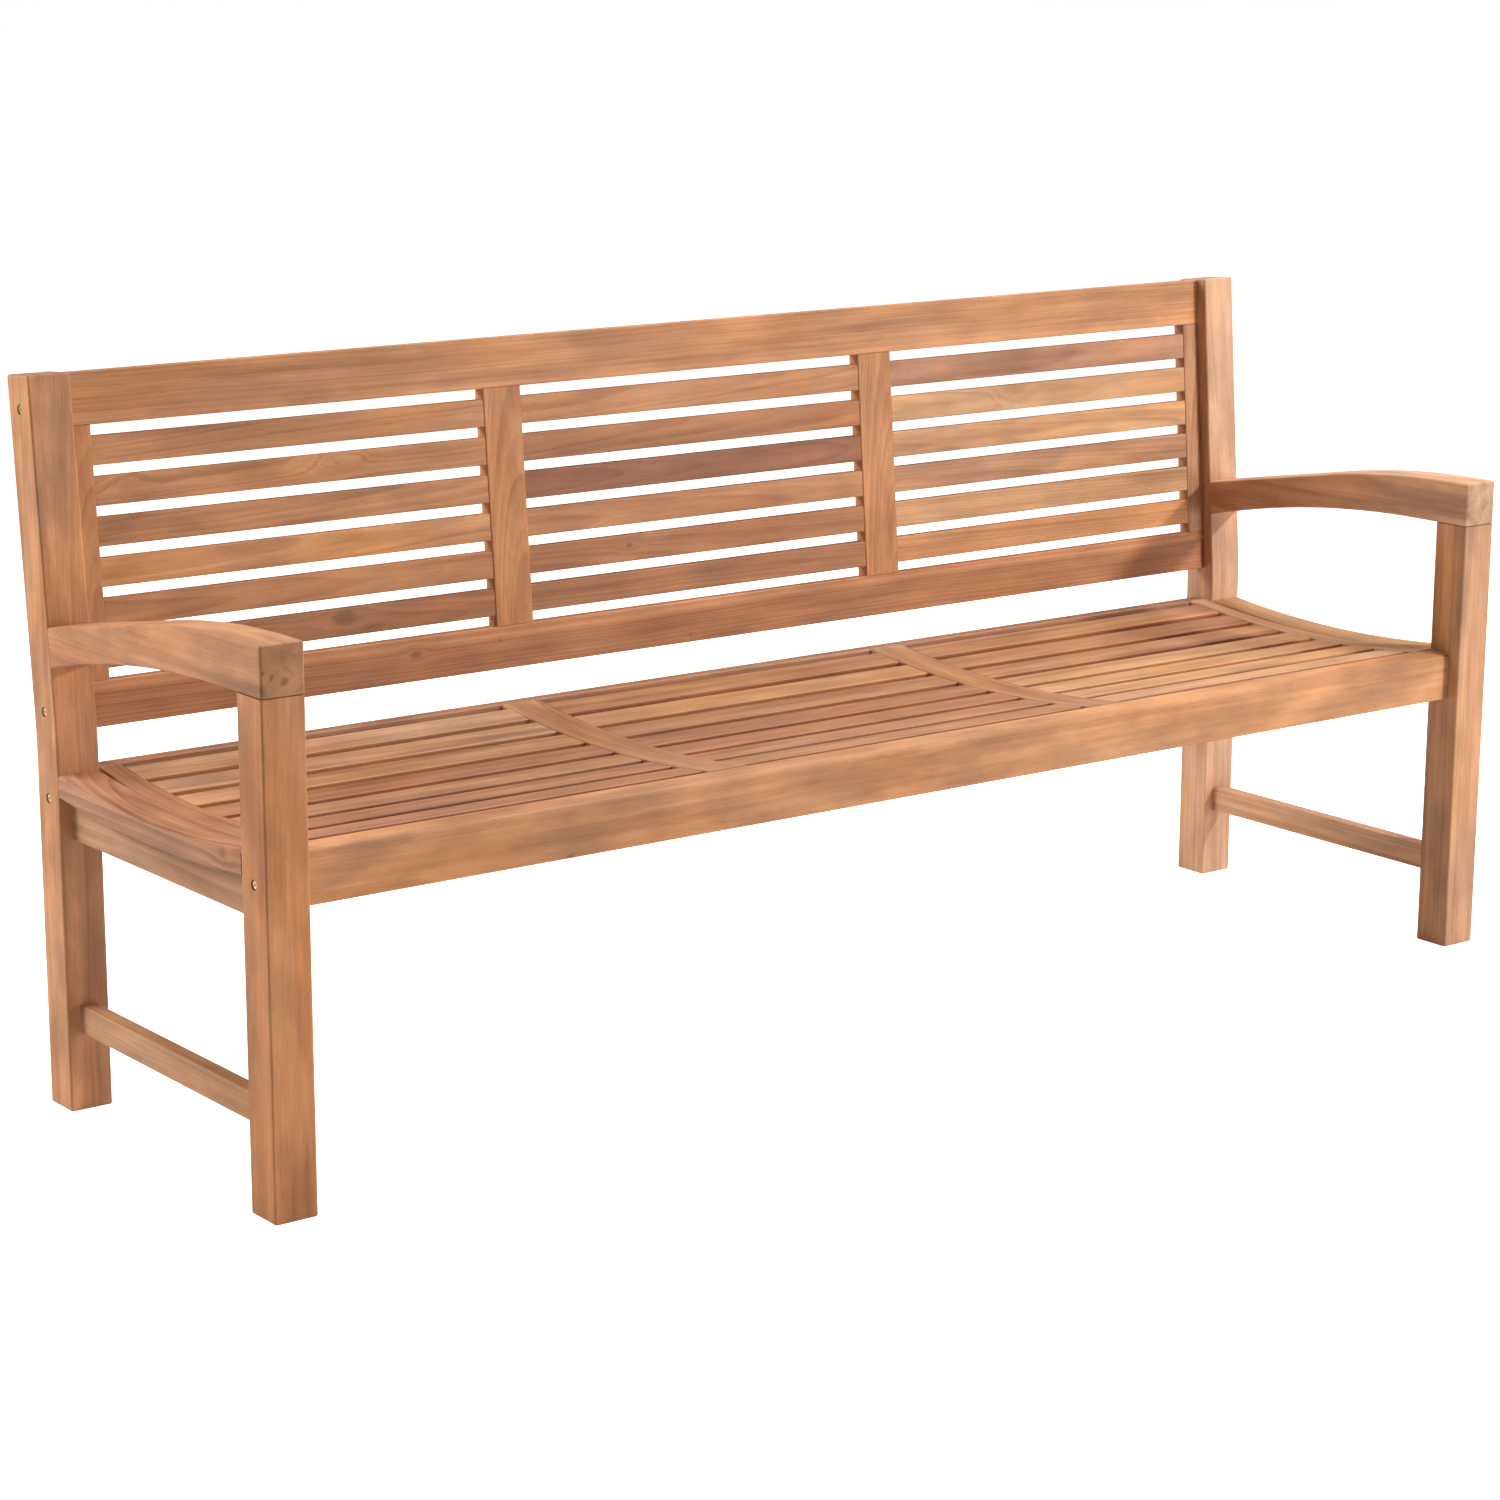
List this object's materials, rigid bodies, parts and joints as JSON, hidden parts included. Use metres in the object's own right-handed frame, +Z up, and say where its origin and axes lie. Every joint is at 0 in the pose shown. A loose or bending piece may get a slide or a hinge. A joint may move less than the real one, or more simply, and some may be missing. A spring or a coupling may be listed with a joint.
{
  "type": "garden bench",
  "caption": "long slatted wooden garden bench with a dished seat, a slightly leaning slatted back, square legs, curved armrests and bolted connections",
  "frame": {"origin": "on the ground under the middle of the bench's box", "axes": "+X runs along the bench to the sitter's left, -Y is the front that the sitter faces, +Z is up"},
  "size_m": [1.96, 0.5876, 0.9012],
  "materials": {
    "teak_like_hardwood": "sanded, unoiled",
    "brass_plated": "satin"
  },
  "bodies": {
    "root": {"front_leg_left": "teak_like_hardwood", "front_leg_right": "teak_like_hardwood", "rear_leg_left": "teak_like_hardwood", "rear_leg_right": "teak_like_hardwood", "arm_left": "teak_like_hardwood", "arm_right": "teak_like_hardwood", "seat_side_board_left": "teak_like_hardwood", "seat_side_board_right": "teak_like_hardwood", "seat_side_rail_left": "teak_like_hardwood", "seat_side_rail_right": "teak_like_hardwood", "stretcher_left": "teak_like_hardwood", "stretcher_right": "teak_like_hardwood", "back_top_rail": "teak_like_hardwood", "back_bottom_rail": "teak_like_hardwood", "back_stile_1": "teak_like_hardwood", "back_stile_2": "teak_like_hardwood", "back_stile_3": "teak_like_hardwood", "back_stile_4": "teak_like_hardwood", "back_slat_bay1_row1": "teak_like_hardwood", "back_slat_bay1_row2": "teak_like_hardwood", "back_slat_bay1_row3": "teak_like_hardwood", "back_slat_bay1_row4": "teak_like_hardwood", "back_slat_bay1_row5": "teak_like_hardwood", "back_slat_bay1_row6": "teak_like_hardwood", "back_slat_bay2_row1": "teak_like_hardwood", "back_slat_bay2_row2": "teak_like_hardwood", "back_slat_bay2_row3": "teak_like_hardwood", "back_slat_bay2_row4": "teak_like_hardwood", "back_slat_bay2_row5": "teak_like_hardwood", "back_slat_bay2_row6": "teak_like_hardwood", "back_slat_bay3_row1": "teak_like_hardwood", "back_slat_bay3_row2": "teak_like_hardwood", "back_slat_bay3_row3": "teak_like_hardwood", "back_slat_bay3_row4": "teak_like_hardwood", "back_slat_bay3_row5": "teak_like_hardwood", "back_slat_bay3_row6": "teak_like_hardwood", "seat_front_rail": "teak_like_hardwood", "seat_rear_rail": "teak_like_hardwood", "seat_cross_rail_1": "teak_like_hardwood", "seat_cross_rail_2": "teak_like_hardwood", "seat_cross_rail_3": "teak_like_hardwood", "seat_cross_rail_4": "teak_like_hardwood", "seat_slats_row1": "teak_like_hardwood", "seat_slats_row2": "teak_like_hardwood", "seat_slats_row3": "teak_like_hardwood", "seat_slats_row4": "teak_like_hardwood", "seat_slats_row5": "teak_like_hardwood", "seat_slats_row6": "teak_like_hardwood", "seat_slats_row7": "teak_like_hardwood", "connector_bolts": "brass_plated", "barrel_nuts": "brass_plated"}
  },
  "joints": []
}
